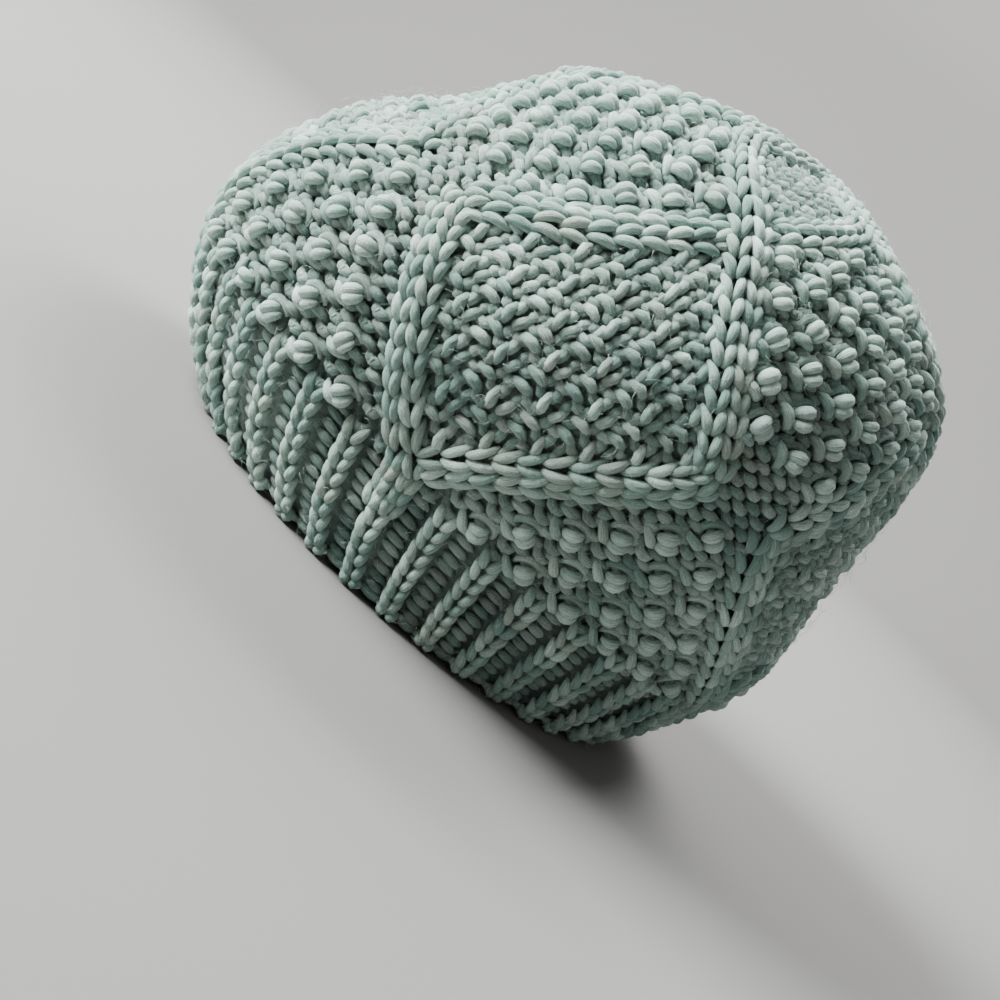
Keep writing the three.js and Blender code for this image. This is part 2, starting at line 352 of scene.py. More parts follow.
def row_waves(repeat, stitch, row, lengths, seed, count):
    """`count` sums of sine waves along each row of yarn, lengths in stitches, each row with its phases."""
    first_row = -20
    row_count = 80
    rows = np.clip(np.round(np.asarray(row, float)).astype(int) - first_row, 0, row_count - 1)
    place = np.asarray(repeat) * STITCHES + np.asarray(stitch, float)
    place, rows = np.broadcast_arrays(place, rows)
    phases = np.random.default_rng(seed).uniform(0, 2 * np.pi, (row_count, count, len(lengths)))
    return np.sin(2 * np.pi * place[..., None, None] / np.array(lengths) + phases[rows]).sum(-1)


def dye_of(repeat, stitch, row, colours):
    """Kettle dye: waves along each row of yarn mix teal with grey, and pale with deep."""
    tone = np.clip(row_waves(repeat, stitch, row, (23.0, 9.0, 4.3), 77, 2) / 2.4, -1, 1)
    hue, light = 0.7 * tone[..., 0:1], tone[..., 1:2]
    middle = np.asarray(colours.sage)
    cool, warm = np.asarray(colours.teal), np.asarray(colours.grey)
    base = middle + np.where(hue > 0, hue * (cool - middle), -hue * (warm - middle))
    pale, deep = np.asarray(colours.mint), np.asarray(colours.spruce)
    return base + np.where(light > 0, light * (pale - base), -light * (deep - base))


def painted_depth_shade(height, depth):
    """Painted shade: share of its colour that a strand keeps by its depth in the fabric, 1 at `depth` mm up
    and 0.3 at `depth` mm down.
    """
    return (0.65 + 0.35 * np.clip(height / depth, -1, 1))[..., None]


def strands_on_chart(yarn, repeat, stitch, row, across, up, lift, radius, colours, sides=6, shade=1.0):
    """Strands whose points lie `across` stitches and `up` rows from a stitch, `lift` mm off the ground."""
    repeat, stitch, row = (np.asarray(a, float)[:, None] for a in (repeat, stitch, row))
    level, angle = chart(repeat, stitch + across, row + up)
    point, normal = wall(level, angle)
    stray = yarn.random.normal(0, colours.unevenness, (len(repeat), 1, 3))
    path = point + normal * (np.asarray(lift) - OUTLINE_TO_GROUND)[..., None] + stray
    size = radius * yarn.random.normal(1, 0.05, (len(repeat), 1))
    yarn.add(path, normal, size, dye_of(repeat, stitch, row, colours) * shade, sides)


def swell(t):
    """A strand's girth along its length: thick in its middle and rounded off to its ends."""
    return np.sin(np.pi * (0.07 + 0.86 * t)) ** 0.5


def leg_shape(radius):
    """One leg of a knit stitch: places across and along in stitches and rows, height and girth in mm. It
    leans out from the stitch's foot to the loop above, and its middle rises."""
    t = np.linspace(0, 1, 7)
    height = radius * (1.2 * np.sin(np.pi * t) ** 0.8 - 0.7 - 0.5 * t)
    return 0.11 + 0.3 * t, -0.28 + 1.28 * t, height, radius * swell(t)


def legs(yarn, repeat, stitch, row, width, lift, radius, colours, sides):
    """Both legs of knit stitches `width` stitches wide."""
    across, up, height, size = leg_shape(radius)
    for side in (-1, 1):
        out = side * across * width
        strands_on_chart(yarn, repeat, stitch, row, out, up, lift + height, size, colours, sides)


def bars(yarn, repeat, stitch, row, half_width, lean, rise, lift, radius, colours, shade=1.0):
    """Purl bars: each runs across a stitch, leans by `lean` rows and rises in its middle by `rise` mm."""
    t = np.linspace(0, 1, 6)
    across = half_width * (2 * t - 1)
    up = -lean * (2 * t - 1) + 0.12 * np.sin(np.pi * t)
    height = lift + rise * np.sin(np.pi * t) ** 0.8
    size = radius * swell(t)
    strands_on_chart(yarn, repeat, stitch, row, across, up, height, size, colours, shade=shade)


def grid(*ranges):
    """Every combination of the ranges, as flat arrays."""
    return [a.ravel().astype(float) for a in np.meshgrid(*ranges, indexing="ij")]


def loops(yarn, cells, radius, colours, shade=1.0):
    """One loop of yarn for each cell: its repeat, stitch, row and width. Over an angle from one sinker to
    the next the loop goes on by a stitch while sin(2 angle) draws its neck in, rises and falls with its
    cosine, and comes forward and back with cos(2 angle): a knit stitch has its legs forward, a purl one its
    foot and the head of the loop below. The yarn's twist leans the loop back and lifts its first leg."""
    theta = np.linspace(-0.12, 2 * np.pi + 0.12, 15)
    repeat, stitch, row, squeeze = (np.asarray(a, float)[:, None] for a in cells)
    across = theta / (2 * np.pi) - 0.5 + LOOP_NECK * np.sin(2 * theta) - LOOP_LEAN * (1 - np.cos(theta))
    up = 0.5 - LOOP_REACH * np.cos(theta)
    side = loop_side(theta, stitch, row, squeeze)
    height = -LOOP_DEPTH * side * np.cos(2 * theta) + LEG_LIFT * np.maximum(side, 0) * np.sin(theta)
    place = stitch + squeeze * across
    point, normal = wall(*chart(repeat, place, row + up))
    path = point + normal * (height - OUTLINE_TO_GROUND)[..., None]
    path = path + colours.unevenness * row_waves(repeat, place, row, (2.3, 1.1), 5, 3)
    pinch = 1.03 + LOOP_PINCH * np.cos(4 * theta)
    size = radius * pinch * (1 + 0.06 * row_waves(repeat, place, row, (3.1,), 6, 1)[..., 0])
    # painted shade: each loop darker where it dips deep between its neighbours, times the share `shade`
    dye_and_painted_light = shade * dye_of(repeat, place, row, colours) * painted_depth_shade(height, LOOP_DEPTH)
    yarn.add(path, normal, size, dye_and_painted_light)


def loop_side(theta, stitch, row, squeeze):
    """1 where a loop is a knit stitch and -1 where it is a purl one. Its ends go over to its neighbours'
    sides in the row, and its head to the side of the stitch above."""
    to_left = np.clip(0.5 - theta / 1.6, 0, 0.5)
    to_right = to_left[::-1]
    foot = (
        facing(stitch, row) * (1 - to_left - to_right)
        + facing(stitch - squeeze, row) * to_left
        + facing(stitch + squeeze, row) * to_right
    )
    head = 0.5 - 0.5 * np.tanh(2.2 * np.cos(theta))
    return foot * (1 - head) + facing(stitch, row + 1) * head


# Where each kind of stitch lies

def ground_cells():
    """Every stitch above the brim without a band: repeat, stitch from the diamond's middle, row, width."""
    repeat, place, row = grid(range(REPEATS), range(-8, 8), range(0, 39))
    half = half_stitches(row + 0.5)
    columns = np.ceil(half - 0.01)
    squeeze = half / columns
    stitch = (place + 0.5) * squeeze
    free = np.abs(np.abs(stitch) - np.abs(band_stitch(row + 0.5))) > 0.6
    keep = (np.abs(place + 0.5) < columns) & free
    return np.stack([repeat, stitch, row, squeeze])[:, keep]


def in_diamond(stitch, row):
    """True inside a framed diamond."""
    return (row < CROSSING_ROW) & (np.abs(stitch) < np.abs(band_stitch(row + 0.5)))


def facing(stitch, row):
    """1 for a knit stitch and -1 for a purl one: double moss in the diamonds, purl ground elsewhere."""
    moss = (np.floor(stitch) + np.floor(row / 2)) % 2
    return np.where(in_diamond(stitch, row) & (moss == 1), 1.0, -1.0)


def bobble_places():
    """Bobbles stand on every second row and stitch, staggered, below and above the side corners."""
    repeat, from_middle, step = grid(range(REPEATS), range(-8, 9), range(0, 20))
    lower = step < LOWER_BOBBLE_ROWS
    first = np.where(lower, FIRST_BOBBLE_ROW, FIRST_UPPER_BOBBLE_ROW - 2 * LOWER_BOBBLE_ROWS)
    row = first + 2 * step
    half = half_stitches(row)
    staggered = (step + from_middle + lower) % 2 == 0
    clear = half - np.abs(from_middle) > np.abs(band_stitch(row)) + BOBBLE_CLEARANCE
    keep = staggered & clear & (row <= LAST_UPPER_BOBBLE_ROW)
    return repeat[keep], (half + from_middle)[keep], row[keep]


# Pieces

def build_ribbing(knitting, colours, material):
    """Knit columns at even stitches with purl valleys between them, and a cast-on edge of slanting loops."""
    yarn = Yarn(1)
    radius = knitting.yarn_radius * 1.05
    repeat, rib, row = grid(range(REPEATS), range(-4, 4), range(-RIB_ROWS, 0))
    legs(yarn, repeat, 2 * rib, row, 0.9, RIB_PROUD + 0.6, radius, colours, sides=7)
    repeat, rib, step = grid(range(REPEATS), range(-4, 4), range(0, LADDER_BARS))
    row = RIB_ROWS / LADDER_BARS * step + 0.4 - RIB_ROWS
    # painted shade: the ladder bars in the purl valleys at LADDER_SHADE of their colour
    bars(yarn, repeat, 2 * rib + 1, row, 0.4, 0.1, 1.0, 0.0, radius * 0.98, colours, LADDER_SHADE)
    repeat, stitch = grid(range(REPEATS), range(-8, 8))
    row = np.full(len(repeat), 0.15 - RIB_ROWS)
    edge = 1.4 * (stitch % 2 == 0)[:, None]
    bars(yarn, repeat, stitch, row, 0.56, -0.1, 0.6, 0.2 + edge, radius, colours)
    return knit("rib_stitches", yarn, material)


def band_frames(repeat, sign, row):
    """Points in the middle of the bands, their normals, ways across and along, and lengths of a stitch."""
    step = 0.6
    point, normal = wall(*chart(repeat, sign * band_stitch(row), row))
    tip, _ = wall(*chart(repeat, sign * band_stitch(row + step), row + step))
    tail, _ = wall(*chart(repeat, sign * band_stitch(row - step), row - step))
    spacing = np.linalg.norm(tip - tail, axis=-1) / (2 * step)
    along = unit(tip - tail)
    return point, normal, unit(np.cross(along, normal)), along, spacing


def build_bands(knitting, colours, material):
    """Bands of two knit columns in their own frame: V by V along the band, each column rounded."""
    yarn = Yarn(2)
    radius = knitting.yarn_radius * 1.04
    repeat, sign, row = grid(range(REPEATS), (-1, 1), range(FIRST_BAND_ROW, 39))
    seen = (sign < 0) | (row > 0)
    repeat, sign, row = repeat[seen], sign[seen], row[seen]
    point, normal, across, along, spacing = (a[:, None] for a in band_frames(repeat, sign, row))
    # at a crossing, one band climbs over the other
    over = 2.4 * np.exp(-(((row - CROSSING_ROW) / 2.2) ** 2)) * np.where(sign > 0, 1, -0.7)
    out, onward, height, size = leg_shape(radius)
    for column in (-1, 1):
        for side in (-1, 1):
            x = (column * 0.5 + side * out) * knitting.column_width
            lift = BAND_PROUD + 1.1 + over[:, None] + height - 0.05 * x**2
            path = point + across * x[:, None] + along * (onward * spacing)[..., None]
            path = path + normal * (lift - OUTLINE_TO_GROUND)[..., None]
            path = path + yarn.random.normal(0, colours.unevenness, (len(row), 1, 3))
            girth = size * yarn.random.normal(1, 0.05, (len(row), 1))
            dye_and_painted_light = dye_of(repeat, sign * band_stitch(row) + column, row, colours)[:, None]
            yarn.add(path, normal, girth, dye_and_painted_light, 7)
    close_top(yarn, colours)
    return knit("lattice_bands", yarn, material)


def close_top(yarn, colours):
    """Three strands drawn across the last stitches, one over the other, as the yarn's end gathers them."""
    t = np.linspace(0, 1, 8)
    centre = wall(TOP_LEVEL, np.linspace(0, 2 * np.pi, 12, endpoint=False))[0].mean(0)
    turn = np.radians([10, 72, 130])[:, None]
    reach = 7.5 * (2 * t - 1)
    rise = np.array([[-2.4], [-1.2], [0.0]]) + 1.6 * np.sin(np.pi * t)
    path = centre + np.stack([reach * np.cos(turn), reach * np.sin(turn), rise], -1)
    dye_and_painted_light = dye_of(np.arange(3), 0, 38, colours)[:, None]
    yarn.add(path, np.array([0, 0, 1.0]), 2.3 * swell(t), dye_and_painted_light, 8)


def build_diamonds(knitting, colours, material):
    """Double moss in each framed diamond."""
    yarn = Yarn(3)
    cells = ground_cells()
    keep = in_diamond(cells[1], cells[2])
    loops(yarn, cells[:, keep], knitting.yarn_radius, colours)
    return knit("diamond_stitches", yarn, material)


def build_ground(name, from_row, to_row, knitting, colours, material):
    """Purl ground outside the diamonds, from one row up to before another, darkened with painted shade."""
    yarn = Yarn(4)
    cells = ground_cells()
    row = cells[2]
    keep = ~in_diamond(cells[1], row) & (row >= from_row) & (row < to_row)
    # painted shade: the whole purl ground at GROUND_SHADE of its colour
    loops(yarn, cells[:, keep], knitting.yarn_radius, colours, GROUND_SHADE)
    return knit(name, yarn, material)


def bobble_frame(yarn, repeat, stitch, row):
    """Each bobble's point on the mean outline, its right and up, turned at random, and its normal."""
    point, normal = wall(*chart(repeat, stitch, row))
    beside, _ = wall(*chart(repeat, stitch + 0.3, row))
    above, _ = wall(*chart(repeat, stitch, row + 0.3))
    right = unit(unit(beside - point) + unit(above - point))
    up = unit(np.cross(normal, right))
    turn = yarn.random.normal(0, 0.3, len(repeat))[:, None]
    turned_right = right * np.cos(turn) + up * np.sin(turn)
    turned_up = up * np.cos(turn) - right * np.sin(turn)
    return [a[:, None] for a in (point, turned_right, turned_up, normal)]


def in_frame(frame, x, y, z):
    """Paths in each bobble's frame: x mm to its right, y mm up and z mm off the ground."""
    point, right, up, normal = frame
    x, y, z = (np.asarray(a, float)[..., None] for a in (x, y, z))
    return point + x * right + y * up + (z - OUTLINE_TO_GROUND) * normal


def wrap_bobbles(yarn, frame, ball, dye_and_light_at):
    """Two short strands side by side over each ball, each an arc of a circle about the ball's middle."""
    count = len(frame[0])
    centre = in_frame(frame, 0, 0, BOBBLE_LIFT)
    theta = np.linspace(-1.9, 1.9, 9)
    for offset, thick in ((-0.5, 0.5), (0.42, 0.52)):
        apart = (offset + yarn.random.normal(0, 0.08, (count, 1))) * ball * np.cos(0.55 * theta)
        reach = ball * (math.sqrt(1 - offset**2) - thick * 0.5)
        path = in_frame(frame, reach * np.sin(theta), apart, BOBBLE_LIFT + reach * np.cos(theta))
        size = thick * ball * np.cos(0.75 * theta) ** 0.5 * yarn.random.normal(1, 0.1, (count, 1))
        # painted shade: each wrap darker towards its ends, where it goes down to the ground; its colour
        # comes in with painted highlight
        yarn.add(path, unit(path - centre), size, dye_and_light_at(offset) * painted_depth_shade(np.cos(theta), 1), 8)


def build_bobbles(knitting, colours, material):
    """Bobbles: two strands wrapped over a ball, an arch of yarn round it and a slanting strand beside it.
    The wraps carry painted highlight, the ball and the arch painted shade.
    """
    yarn = Yarn(5)
    repeat, stitch, row = bobble_places()
    frame = bobble_frame(yarn, repeat, stitch, row)
    normal = frame[3]
    ball = knitting.bobble_radius

    def dye_and_light_at(across, up=0):
        return dye_of(repeat, stitch + across, row + up, colours)[:, None]

    # painted highlight: the wraps' colour mixed half with mint, paler where the raised bobbles catch the
    # light
    def painted_highlight_at(across):
        return 0.5 * dye_and_light_at(across) + 0.5 * np.asarray(colours.mint)

    t = np.linspace(-1, 1, 7)
    path = in_frame(frame, 0.66 * ball * t, 0, BOBBLE_LIFT)
    # painted shade: the core ball at 0.7 of its colour, under the wraps
    yarn.add(path, normal, 0.8 * ball * np.sqrt(1.02 - t**2), 0.7 * dye_and_light_at(0), 8)
    wrap_bobbles(yarn, frame, ball, painted_highlight_at)
    t = np.linspace(0, 1, 9)
    theta = 2.7 - 3.2 * t
    reach = 1.28 * ball
    path = in_frame(frame, reach * np.cos(theta), reach * np.sin(theta), 1.5 + 0.9 * np.sin(np.pi * t))
    # painted shade: the arch at 0.8 of its colour, low round the ball
    yarn.add(path, normal, 1.6 * swell(t), 0.8 * dye_and_light_at(0, 1))
    t = np.linspace(0, 1, 7)
    path = in_frame(frame, 3.6 * t - 7.2, 4.0 - 8.2 * t, 0.4 + 3.7 * np.sin(np.pi * t) ** 0.7)
    yarn.add(path, normal, 1.85 * swell(t), dye_and_light_at(-1))
    return knit("bobbles", yarn, material)


def build_fibres(colours, material):
    """Loose fibre ends: thin curls that stand off the yarn all over the outside."""
    yarn = Yarn(7)
    row = yarn.random.uniform(-RIB_ROWS, LAST_ROW, FIBRE_TRIES)
    keep = yarn.random.uniform(0, STITCHES / 2, FIBRE_TRIES) < half_stitches(row)
    row = row[keep]
    count = len(row)
    each = (count, 1, 1)
    repeat = np.floor(yarn.random.uniform(0, REPEATS, count))
    stitch = yarn.random.uniform(-1, 1, count) * half_stitches(row)
    point, normal = wall(*chart(repeat, stitch, row))
    above, _ = wall(*chart(repeat, stitch, row + 0.3))
    up = unit(above - point)
    side = np.cross(normal, up)
    heading = yarn.random.uniform(0, 2 * np.pi, each)
    bend = yarn.random.normal(0, 1.2, each)
    length = yarn.random.uniform(2, 6, each)
    t = np.linspace(0, 1, 4)[None, :, None]
    turned = heading + bend * t
    way = side[:, None] * np.cos(turned) + up[:, None] * np.sin(turned)
    lift = yarn.random.uniform(1.5, 6.0, each) + length * t * yarn.random.uniform(0.05, 0.5, each)
    path = point[:, None] + length * t * way + normal[:, None] * (lift - OUTLINE_TO_GROUND)
    path[..., 2] = np.maximum(path[..., 2], 0.2)
    dye_and_painted_light = 0.5 * dye_of(repeat, stitch, row, colours) + 0.5 * np.asarray(colours.mint)
    yarn.add(path, normal[:, None], 0.075 * (1 - 0.7 * t[..., 0]), dye_and_painted_light[:, None], 3)
    return knit("loose_fibres", yarn, material)


def wall_rings(outer_levels, inner_levels, angle, stitch):
    """Rings of the wall: a little under the stitches outside, and inside at the fabric's thickness, where
    cosines of the stitch and the row make low ribs and ripples. The last rings close the top."""
    outer_point, outer_normal = wall(outer_levels[:, None], angle[None])
    outer = outer_point - outer_normal * (OUTLINE_TO_GROUND + 0.9)
    inner_point, inner_normal = wall(inner_levels[:, None], angle[None])
    fade = np.clip((TOP_LEVEL - inner_levels) / 8, 0, 1)[:, None]
    in_brim = inner_levels < BRIM_TOP_LEVEL
    row = np.where(in_brim, inner_levels, inner_levels / LEVELS_PER_ROW)[:, None]
    rib = np.where(in_brim, 1.1, 0.25)[:, None] * np.cos(np.pi * stitch)[None]
    ripple = 0.55 * np.cos(2 * np.pi * row + 1.2 * np.sin(np.pi * stitch)[None])
    depth = OUTLINE_TO_GROUND + GROUND_THICKNESS - fade * (rib + ripple) * 0.8
    inner = inner_point - inner_normal * depth[..., None]
    for ring in (outer[-1], inner[0]):
        ring[:] = ring.mean(0) + 0.02 * (ring - ring.mean(0))
    return np.concatenate([outer, inner])


def wall_uv(levels, angle):
    """Corners of the wall's faces in mm around and up, face by face in the order of the rings."""
    u = np.degrees(angle) * MM_PER_DEGREE
    v = levels * MM_PER_LEVEL
    u_next = np.append(u[1:], 360 * MM_PER_DEGREE)
    v_next = np.roll(v, -1)
    corners = [(u, v), (u_next, v), (u_next, v_next), (u, v_next)]
    grids = [np.stack(np.meshgrid(across, up), -1) for across, up in corners]
    return np.stack(grids, 2).reshape(-1, 2)


def build_wall(colours, material):
    """The fabric behind the stitches: a closed wall from the rim's foot up the outside, over the top and
    down the inside."""
    around = WALL_POINTS_AROUND
    outer_levels = np.linspace(0, TOP_LEVEL, WALL_LEVELS_OUTSIDE)
    inner_levels = np.linspace(TOP_LEVEL, 0, WALL_LEVELS_INSIDE)
    levels = np.concatenate([outer_levels, inner_levels])
    angle = np.linspace(0, 2 * np.pi, around, endpoint=False)
    stitch = (np.degrees(angle) - FIRST_DIAMOND_DEGREES) / 360 * REPEATS * STITCHES
    rings = wall_rings(outer_levels, inner_levels, angle, stitch)
    count = len(rings)
    i = (np.arange(count) * around)[:, None]
    j = np.arange(around)[None]
    k = (j + 1) % around
    following = (i + around) % (count * around)
    quads = np.stack([i + j, i + k, following + k, following + j], -1).reshape(-1, 4)
    row = np.repeat(levels / LEVELS_PER_ROW - 5, around)
    # painted shade: the wall darkened to WALL_SHADE_OUTSIDE under the stitches and WALL_SHADE_INSIDE on the
    # inner face
    shade = np.repeat([WALL_SHADE_OUTSIDE, WALL_SHADE_INSIDE], [len(outer_levels), len(inner_levels)])
    colour = dye_of(0, np.tile(stitch, count), row, colours) * np.repeat(shade, around)[:, None]
    uv = wall_uv(levels, angle)
    piece = make_mesh("knitted_wall", rings.reshape(-1, 3), quads.tolist(), uv, colour)
    return finish(piece, material)


# Finish

def add_node(tree, kind, settings=None, inputs=None):
    """Adds a node, sets its properties and fills its inputs: a socket is linked, all else is a value."""
    node = tree.nodes.new(kind)
    for name, value in (settings or {}).items():
        setattr(node, name, value)
    for name, value in (inputs or {}).items():
        if isinstance(value, bpy.types.NodeSocket):
            tree.links.new(value, node.inputs[name])
        else:
            node.inputs[name].default_value = value
    return node


def wool_material(name):
    """Superwash merino single ply, hand dyed: loosely spun, so long fibres run along each strand with a
    slight twist, its fuzz scatters light softly and the dye varies from stitch to stitch."""
    material = bpy.data.materials.new(name)
    material.use_nodes = True
    tree = material.node_tree
    tree.nodes.clear()
    uv = add_node(tree, "ShaderNodeUVMap", {"uv_map": "yarn_mm"})
    # fibres 0.3 mm wide and about 5 mm long, drawn coarser than the real 0.02 mm so that they show
    fibre_place = add_node(
        tree,
        "ShaderNodeMapping",
        inputs={"Vector": uv.outputs["UV"], "Rotation": (0, 0, math.radians(14)), "Scale": (0.2, 3.2, 1)},
    )
    fibres = add_node(
        tree,
        "ShaderNodeTexNoise",
        {"noise_dimensions": "2D"},
        {"Vector": fibre_place.outputs["Vector"], "Scale": 1.0, "Detail": 2.0, "Roughness": 0.6},
    )
    place = add_node(tree, "ShaderNodeTexCoord")
    # lint, in specks about 0.4 mm apart
    lint = add_node(
        tree,
        "ShaderNodeTexNoise",
        None,
        {"Vector": place.outputs["Object"], "Scale": 2600.0, "Detail": 1.0, "Roughness": 0.6},
    )
    # the strands' colour attribute: their dyed colour with painted shade and painted highlight in places
    dye_and_painted_light = add_node(tree, "ShaderNodeAttribute", {"attribute_name": "dye_and_painted_light"})
    fibre_tone = add_node(
        tree,
        "ShaderNodeMapRange",
        inputs={
            "Value": fibres.outputs["Fac"],
            "From Min": 0.3,
            "From Max": 0.7,
            "To Min": 0.64,
            "To Max": 1.2,
        },
    )
    lint_tone = add_node(
        tree,
        "ShaderNodeMapRange",
        inputs={
            "Value": lint.outputs["Fac"],
            "From Min": 0.3,
            "From Max": 0.7,
            "To Min": 0.78,
            "To Max": 1.18,
        },
    )
    tone = add_node(
        tree,
        "ShaderNodeMath",
        {"operation": "MULTIPLY"},
        {0: fibre_tone.outputs["Result"], 1: lint_tone.outputs["Result"]},
    )
    colour = add_node(
        tree,
        "ShaderNodeVectorMath",
        {"operation": "SCALE"},
        {"Vector": dye_and_painted_light.outputs["Color"], "Scale": tone.outputs["Value"]},
    )
    relief = add_node(
        tree,
        "ShaderNodeMath",
        {"operation": "ADD"},
        {0: fibres.outputs["Fac"], 1: lint.outputs["Fac"]},
    )
    bump = add_node(
        tree,
        "ShaderNodeBump",
        inputs={"Strength": 0.8, "Distance": 0.0005, "Height": relief.outputs["Value"]},
    )
    shader = add_node(
        tree,
        "ShaderNodeBsdfPrincipled",
        inputs={
            "Base Color": colour.outputs["Vector"],
            "Roughness": 0.88,
            "Specular IOR Level": 0.25,
            "Sheen Weight": 0.35,
            "Sheen Roughness": 0.45,
            "Sheen Tint": (0.86, 0.95, 0.92, 1),
            "Normal": bump.outputs["Normal"],
        },
    )
    add_node(tree, "ShaderNodeOutputMaterial", inputs={"Surface": shader.outputs["BSDF"]})
    return material


def plain_material(name, colour, roughness):
    """Matt painted board, as a plain floor and backdrop has."""
    material = bpy.data.materials.new(name)
    material.use_nodes = True
    shader = material.node_tree.nodes["Principled BSDF"]
    shader.inputs["Base Color"].default_value = (*colour, 1)
    shader.inputs["Roughness"].default_value = roughness
    return material


# Stage

def camera_axes():
    """The camera's right, up and back, turned about its line of sight by the roll."""
    place, aim = Vector(CAMERA_PLACE), Vector(CAMERA_AIM)
    back = (place - aim).normalized()
    level_right = Vector((0, 0, 1)).cross(back).normalized()
    level_up = back.cross(level_right)
    roll = math.radians(CAMERA_ROLL)
    right = math.cos(roll) * level_right + math.sin(roll) * level_up
    up = math.cos(roll) * level_up - math.sin(roll) * level_right
    return right, up, back


def build_camera():
    right, up, back = camera_axes()
    data = bpy.data.cameras.new("camera")
    data.lens = CAMERA_LENS
    data.sensor_width = CAMERA_SENSOR
    data.clip_start = 0.01
    data.clip_end = 20
    camera = bpy.data.objects.new("camera", data)
    turn = Matrix((right, up, back)).transposed().to_4x4()
    camera.matrix_world = Matrix.Translation(Vector(CAMERA_PLACE) * METRES) @ turn
    bpy.context.scene.collection.objects.link(camera)
    bpy.context.scene.camera = camera


def build_light(name, place, aim, size, power, colour):
    """Square soft light at a place in metres, turned towards its aim."""
    data = bpy.data.lights.new(name, "AREA")
    data.shape = "SQUARE"
    data.size = size
    data.energy = power
    data.color = colour
    light = bpy.data.objects.new(name, data)
    light.location = place
    light.rotation_mode = "QUATERNION"
    light.rotation_quaternion = (Vector(aim) - Vector(place)).to_track_quat("-Z", "Y")
    bpy.context.scene.collection.objects.link(light)


def build_sweep(material):
    """Floor that rises in a quarter circle to a backdrop all round: a profile turned about the Z axis."""
    around = 96
    flat, bend, wall_height = 1.6, 0.7, 2.2
    quarter = np.linspace(0, np.pi / 2, 12)
    radius = np.concatenate([[0.0, 0.5, 1.0], flat + bend * np.sin(quarter), [flat + bend]])
    height = np.concatenate([[0.0, 0.0, 0.0], bend * (1 - np.cos(quarter)), [wall_height]])
    angle = np.linspace(0, 2 * np.pi, around, endpoint=False)
    x = radius[:, None] * np.cos(angle)
    y = radius[:, None] * np.sin(angle)
    z = np.broadcast_to(height[:, None], x.shape)
    points = np.stack([x, y, z], -1).reshape(-1, 3)
    i = (np.arange(len(radius) - 1) * around)[:, None]
    j = np.arange(around)[None]
    k = (j + 1) % around
    quads = np.stack([i + j, i + around + j, i + around + k, i + k], -1).reshape(-1, 4)
    mesh = bpy.data.meshes.new("floor")
    mesh.from_pydata(points.tolist(), [], quads.tolist())
    mesh.polygons.foreach_set("use_smooth", np.ones(len(mesh.polygons), bool))
    floor = bpy.data.objects.new("floor", mesh)
    floor.data.materials.append(material)
    bpy.context.scene.collection.objects.link(floor)


def light_hat():
    """Key light from the picture's upper left, a weak fill beside the camera and a light from the right."""
    right, up, back = camera_axes()
    middle = Vector((0, 0, HEIGHT * METRES / 2))
    key = up * 1.25 - right * 0.42 + back * 0.36 + Vector((0, 0, 0.15))
    fill = back * 1.2 - right * 0.8 + Vector((0, 0, 0.2))
    edge = right * 1.1 + up * 0.9 - back * 0.5
    build_light("key", key, middle, 0.8, 104, (0.97, 1.0, 0.98))
    build_light("fill", fill, middle, 1.2, 0.8, (0.95, 0.98, 1.0))
    build_light("edge", edge, middle, 0.7, 26, WHITE)


def light_walls():
    """Lights high on three sides of the hat that wash down the backdrop, each turned outwards."""
    for name, x, y, power in WALL_LIGHTS:
        build_light(name, Vector((x, y, 1.9)), Vector((2.3 * x, 2.3 * y, 0.6)), 1.2, power, WHITE)


def build_world(colour, strength):
    world = bpy.data.worlds.new("studio")
    world.use_nodes = True
    background = world.node_tree.nodes["Background"]
    background.inputs["Color"].default_value = (*colour, 1)
    background.inputs["Strength"].default_value = strength
    bpy.context.scene.world = world


# Add-on

def colour_property(name, hex_colour, description):
    default = tuple(linear(hex_colour))
    return FloatVectorProperty(
        name=name, description=description, subtype="COLOR", size=3, min=0, max=1, default=default
    )


def length_property(name, description, default):
    return FloatProperty(name=name, description=description, default=default)


class TamKnitting(bpy.types.PropertyGroup):
    yarn_radius: length_property("Yarn radius", "Half the yarn's thickness, in mm", 1.68)
    column_width: length_property("Band column", "Width of one knit column of a band, in mm", 7.2)
    bobble_radius: length_property("Bobble radius", "Half a bobble's width, in mm", 3.75)


class TamColours(bpy.types.PropertyGroup):
    sage: colour_property("Sage", "#9DB7AD", "Middle colour of the hand-dyed yarn")
    teal: colour_property("Teal", "#93B3AB", "Cool stretches of the yarn")
    grey: colour_property("Grey", "#AAB3AA", "Warm stretches of the yarn")
    mint: colour_property("Mint", "#C9E1D8", "Pale stretches of the yarn")
    spruce: colour_property("Spruce", "#7F9E96", "Deep stretches of the yarn")
    floor: colour_property("Floor", "#807F7D", "Floor and backdrop")
    unevenness: length_property("Unevenness", "How far hand knitting strays, in mm", 0.2)


class TAM_OT_ribbing(bpy.types.Operator):
    """Knit the ribbed brim"""

    bl_idname = "tam.ribbing"
    bl_label = "Ribbed brim"

    def execute(self, context):
        scene = context.scene
        piece = build_ribbing(scene.tam_knitting, scene.tam_colours, yarn_finish())
        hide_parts("ribbed_brim")
        return {"FINISHED"}


class TAM_OT_crown(bpy.types.Operator):
    """Knit the crown's ground, diamonds and bands"""

    bl_idname = "tam.crown"
    bl_label = "Crown"

    def execute(self, context):
        knitting = context.scene.tam_knitting
        colours = context.scene.tam_colours
        piece = build_ground("lower_ground", 0, UPPER_GROUND_ROW, knitting, colours, yarn_finish())
        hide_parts("crown")
        build_ground("upper_ground", UPPER_GROUND_ROW, 39, knitting, colours, yarn_finish())
        build_diamonds(knitting, colours, yarn_finish())
        build_bands(knitting, colours, yarn_finish())
        return {"FINISHED"}


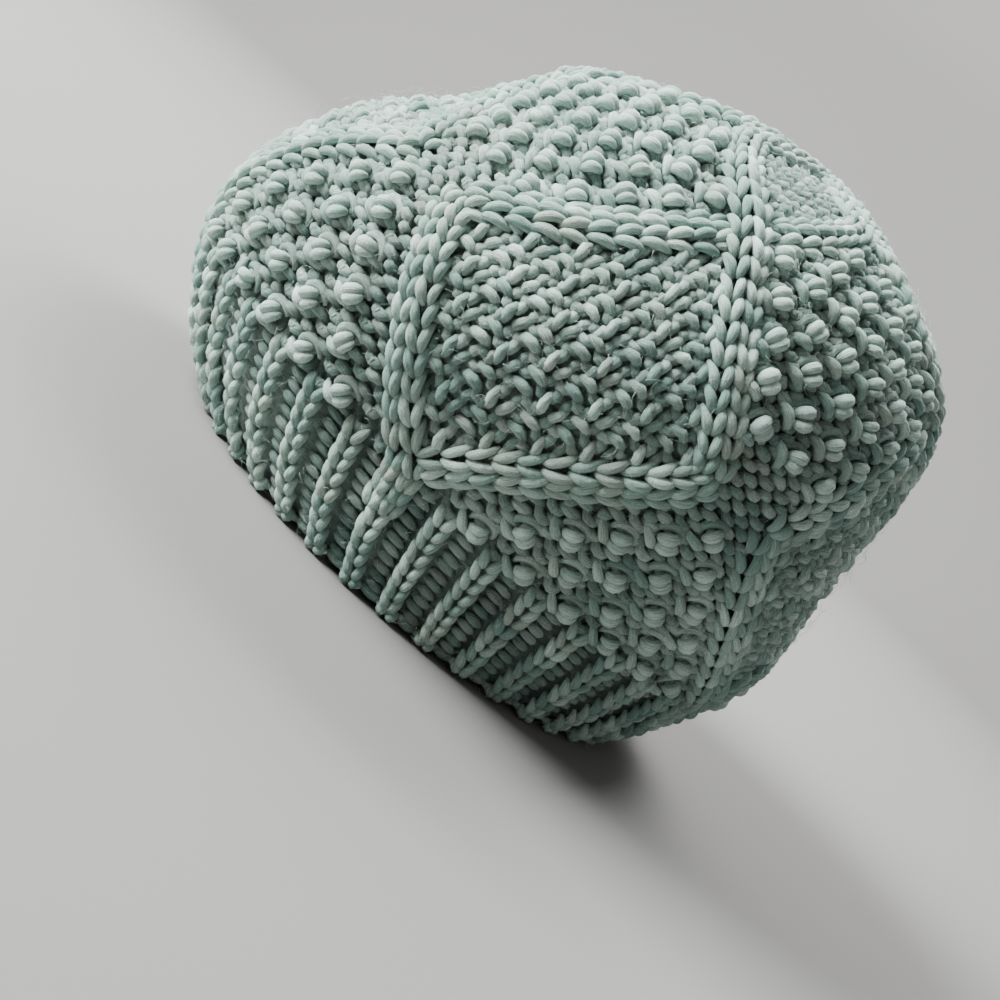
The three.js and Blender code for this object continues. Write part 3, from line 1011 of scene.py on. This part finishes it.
class TAM_OT_bobbles(bpy.types.Operator):
    """Knit the bobbles and raise the loose fibres"""

    bl_idname = "tam.bobbles"
    bl_label = "Bobbles"

    def execute(self, context):
        scene = context.scene
        build_bobbles(scene.tam_knitting, scene.tam_colours, yarn_finish())
        build_fibres(scene.tam_colours, yarn_finish())
        return {"FINISHED"}


class TAM_OT_wall(bpy.types.Operator):
    """Make the fabric behind the stitches and its inner face"""

    bl_idname = "tam.wall"
    bl_label = "Knitted wall"

    def execute(self, context):
        build_wall(context.scene.tam_colours, yarn_finish())
        return {"FINISHED"}


class TAM_OT_stage(bpy.types.Operator):
    """Set up the camera, the lights and the floor"""

    bl_idname = "tam.stage"
    bl_label = "Stage"

    def execute(self, context):
        colours = context.scene.tam_colours
        build_camera()
        build_sweep(plain_material("matt_board", tuple(colours.floor), 0.9))
        light_hat()
        light_walls()
        build_world((0.9, 0.92, 0.93), 0.04)
        return {"FINISHED"}


class TAM_PT_panel(bpy.types.Panel):
    """Shows the hat's settings and the buttons that build it"""

    bl_label = "Tam"
    bl_idname = "TAM_PT_panel"
    bl_space_type = "VIEW_3D"
    bl_region_type = "UI"
    bl_category = "Tam"

    def draw(self, context):
        for name in ("yarn_radius", "column_width", "bobble_radius"):
            self.layout.prop(context.scene.tam_knitting, name)
        for name in ("sage", "teal", "grey", "mint", "spruce", "floor", "unevenness"):
            self.layout.prop(context.scene.tam_colours, name)
        for operator in OPERATORS:
            self.layout.operator(operator.bl_idname)


OPERATORS = (TAM_OT_wall, TAM_OT_ribbing, TAM_OT_crown, TAM_OT_bobbles, TAM_OT_stage)
CLASSES = (TamKnitting, TamColours, *OPERATORS, TAM_PT_panel)


def yarn_finish():
    """The yarn's one material, made once."""
    return bpy.data.materials.get("merino_single_ply") or wool_material("merino_single_ply")


def register():
    for cls in CLASSES:
        bpy.utils.register_class(cls)
    bpy.types.Scene.tam_knitting = PointerProperty(type=TamKnitting)
    bpy.types.Scene.tam_colours = PointerProperty(type=TamColours)


def unregister():
    del bpy.types.Scene.tam_colours
    del bpy.types.Scene.tam_knitting
    for cls in reversed(CLASSES):
        bpy.utils.unregister_class(cls)


def main():
    register()
    bpy.ops.tam.wall()
    bpy.ops.tam.ribbing()
    bpy.ops.tam.crown()
    bpy.ops.tam.bobbles()
    bpy.ops.tam.stage()


if __name__ == "__main__":
    main()
